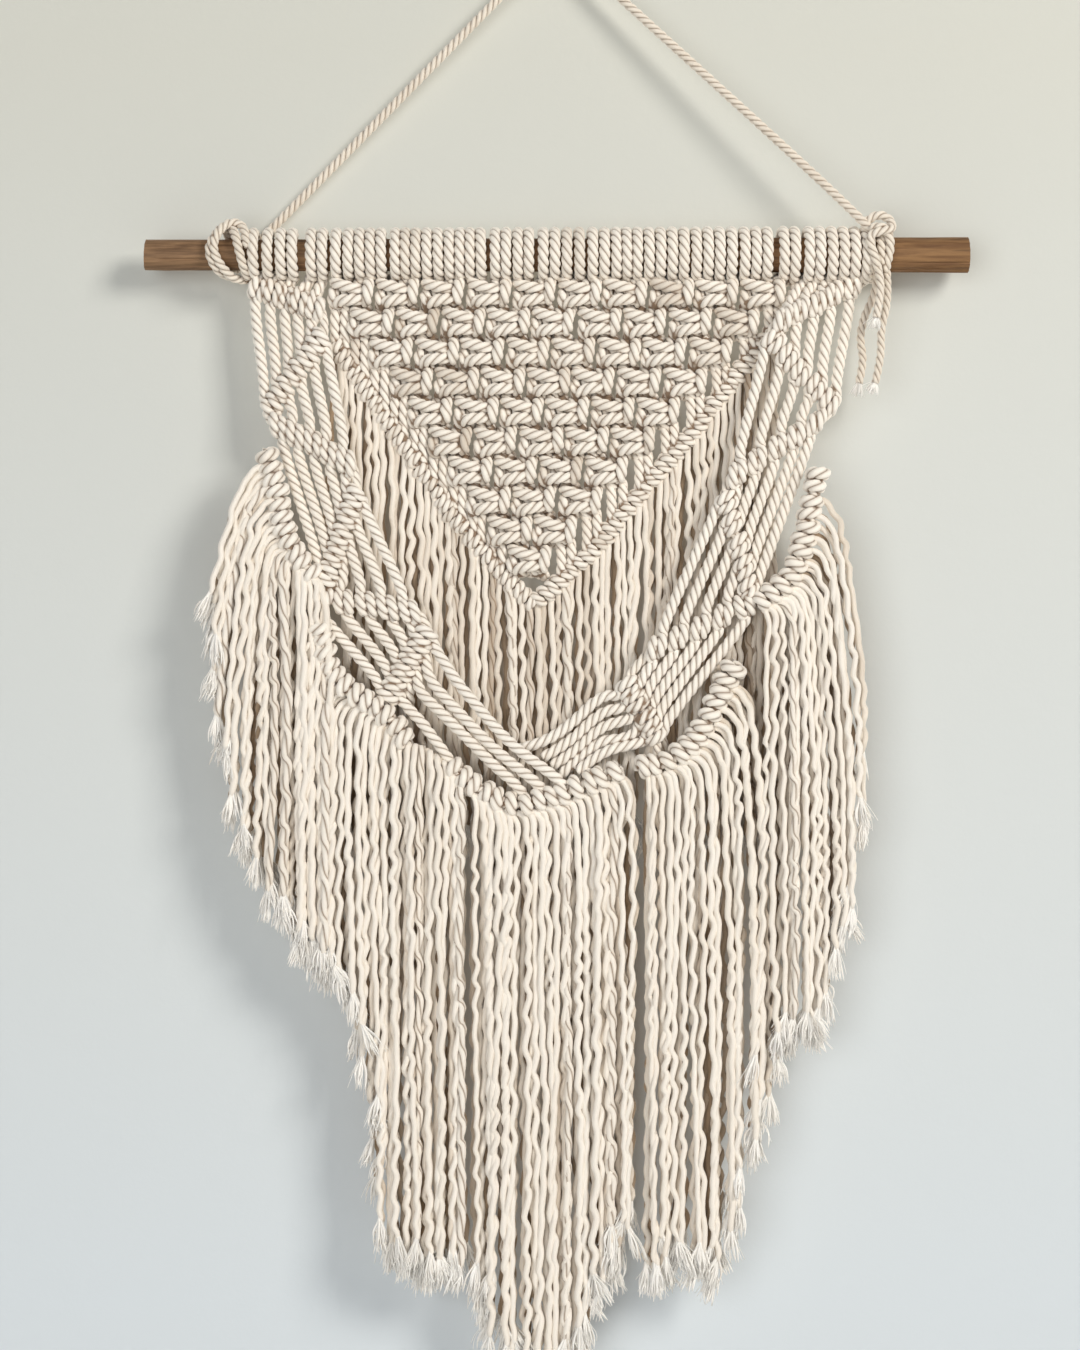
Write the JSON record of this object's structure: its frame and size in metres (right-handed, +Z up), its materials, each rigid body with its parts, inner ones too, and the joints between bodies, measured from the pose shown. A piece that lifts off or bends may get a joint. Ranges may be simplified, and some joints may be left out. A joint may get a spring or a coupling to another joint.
{
  "type": "wall hanging",
  "caption": "Knotted cotton wall hanging on a wooden dowel: square-knot panel, net swags, scallops and long fringes, hung by a rope from a wall nail.",
  "frame": {"origin": "on the nail's axis, in the plane of the wall", "axes": "+X along the dowel towards its thicker end, +Y into the wall, +Z up; the front faces -Y"},
  "size_m": [0.457, 0.0706, 0.8036],
  "materials": {
    "cotton_cord": "three-ply twisted cotton cord, matte, cream",
    "cotton_fringe": "unravelled cotton plies with frayed ends, matte, cream",
    "cotton_rope": "three-ply twisted cotton rope, matte, warm cream",
    "dowel_wood": "bare weathered branch, brown, dry cracks and rough-cut ends",
    "nail_steel": "brushed steel"
  },
  "bodies": {
    "nail": {"wall_nail": "nail_steel"},
    "hanger": {"dowel": "dowel_wood", "hanging_rope": "cotton_rope", "hitch_left": "cotton_rope", "hitch_right": "cotton_rope", "rope_tail_short": "cotton_rope", "rope_tail_inner": "cotton_rope", "rope_tail_outer": "cotton_rope"},
    "back_panel": {"larks_heads_panel": "cotton_cord", "square_knots_row_01": "cotton_cord", "square_knots_row_02": "cotton_cord", "square_knots_row_03": "cotton_cord", "square_knots_row_04": "cotton_cord", "square_knots_row_05": "cotton_cord", "square_knots_row_06": "cotton_cord", "square_knots_row_07": "cotton_cord", "square_knots_row_08": "cotton_cord", "square_knots_row_09": "cotton_cord", "square_knots_row_10": "cotton_cord", "edge_hitches_left": "cotton_cord", "edge_hitches_right": "cotton_cord", "back_fringe_left": "cotton_fringe", "back_fringe_right": "cotton_fringe"},
    "front_swag": {"larks_heads_left": "cotton_cord", "larks_heads_right": "cotton_cord", "net_left_row_1": "cotton_cord", "net_left_row_2": "cotton_cord", "net_left_row_3": "cotton_cord", "net_left_row_4": "cotton_cord", "net_left_row_5": "cotton_cord", "net_left_row_6": "cotton_cord", "net_left_cord_1": "cotton_cord", "net_left_cord_2": "cotton_cord", "net_left_cord_3": "cotton_cord", "net_left_cord_4": "cotton_cord", "net_left_cord_5": "cotton_cord", "net_right_row_1": "cotton_cord", "net_right_row_2": "cotton_cord", "net_right_row_3": "cotton_cord", "net_right_row_4": "cotton_cord", "net_right_row_5": "cotton_cord", "net_right_row_6": "cotton_cord", "net_right_cord_1": "cotton_cord", "net_right_cord_2": "cotton_cord", "net_right_cord_3": "cotton_cord", "net_right_cord_4": "cotton_cord", "net_right_cord_5": "cotton_cord", "scallop_outer_left": "cotton_cord", "scallop_inner_left": "cotton_cord", "scallop_centre": "cotton_cord", "scallop_inner_right": "cotton_cord", "scallop_outer_right": "cotton_cord", "fringe_outer_left": "cotton_fringe", "fringe_inner_left": "cotton_fringe", "fringe_centre": "cotton_fringe", "fringe_inner_right": "cotton_fringe", "fringe_outer_right": "cotton_fringe"}
  },
  "joints": [
    {"name": "hang_swing", "type": "hinge", "parent": "nail", "child": "hanger", "pos_m": [0, -0.012, 0], "axis": [0, -1, 0], "range_deg": [-10, 10]},
    {"name": "panel_lift", "type": "hinge", "parent": "hanger", "child": "back_panel", "pos_m": [0, -0.02, -0.1686], "axis": [-1, 0, 0], "range_deg": [0, 60]},
    {"name": "swag_lift", "type": "hinge", "parent": "back_panel", "child": "front_swag", "pos_m": [0, -0.02, -0.1686], "axis": [-1, 0, 0], "range_deg": [0, 45]}
  ]
}
